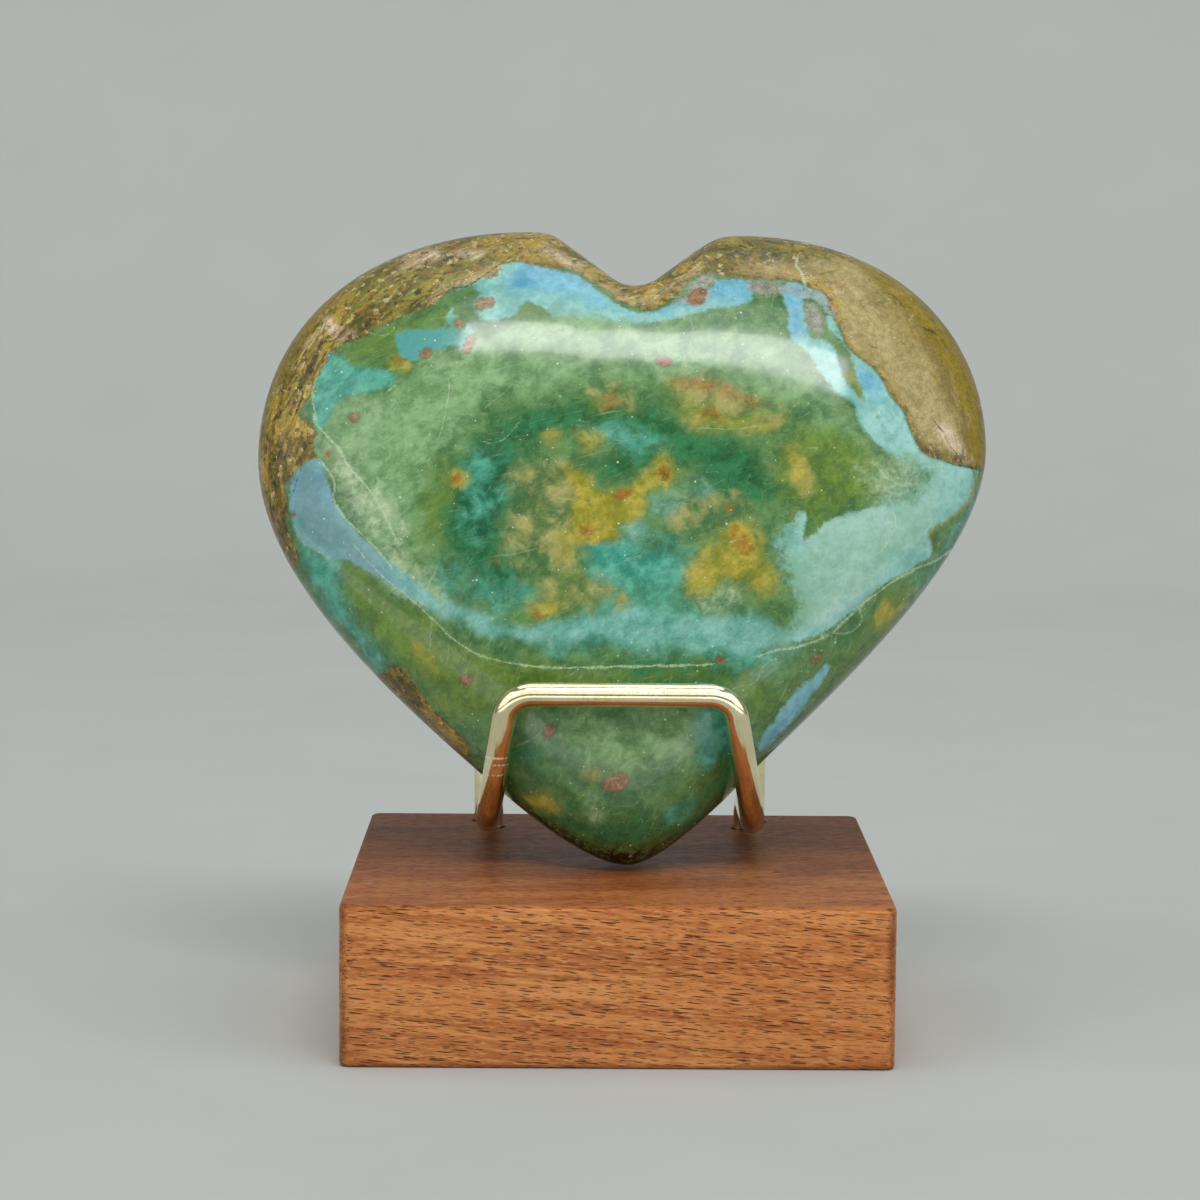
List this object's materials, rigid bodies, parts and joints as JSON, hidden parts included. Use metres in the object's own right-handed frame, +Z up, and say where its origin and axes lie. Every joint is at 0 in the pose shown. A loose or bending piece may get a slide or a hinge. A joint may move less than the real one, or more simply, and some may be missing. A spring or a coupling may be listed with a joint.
{
  "type": "andean blue opal heart on a wire easel stand",
  "caption": "Polished blue-green opal carved as a puffy heart, leaning back in a bent brass wire easel set in a square wooden block.",
  "frame": {"origin": "middle of the wooden block's underside", "axes": "+Z up, the heart's face and the hook's bar towards -Y, +X to the right as seen from the front"},
  "size_m": [0.0914, 0.0644, 0.0961],
  "materials": {
    "opal": "polished",
    "brass": "polished",
    "mahogany": "waxed"
  },
  "bodies": {
    "root": {"opal_heart": "opal", "front_hook": "brass", "rear_rest": "brass", "wood_block": "mahogany"}
  },
  "joints": []
}
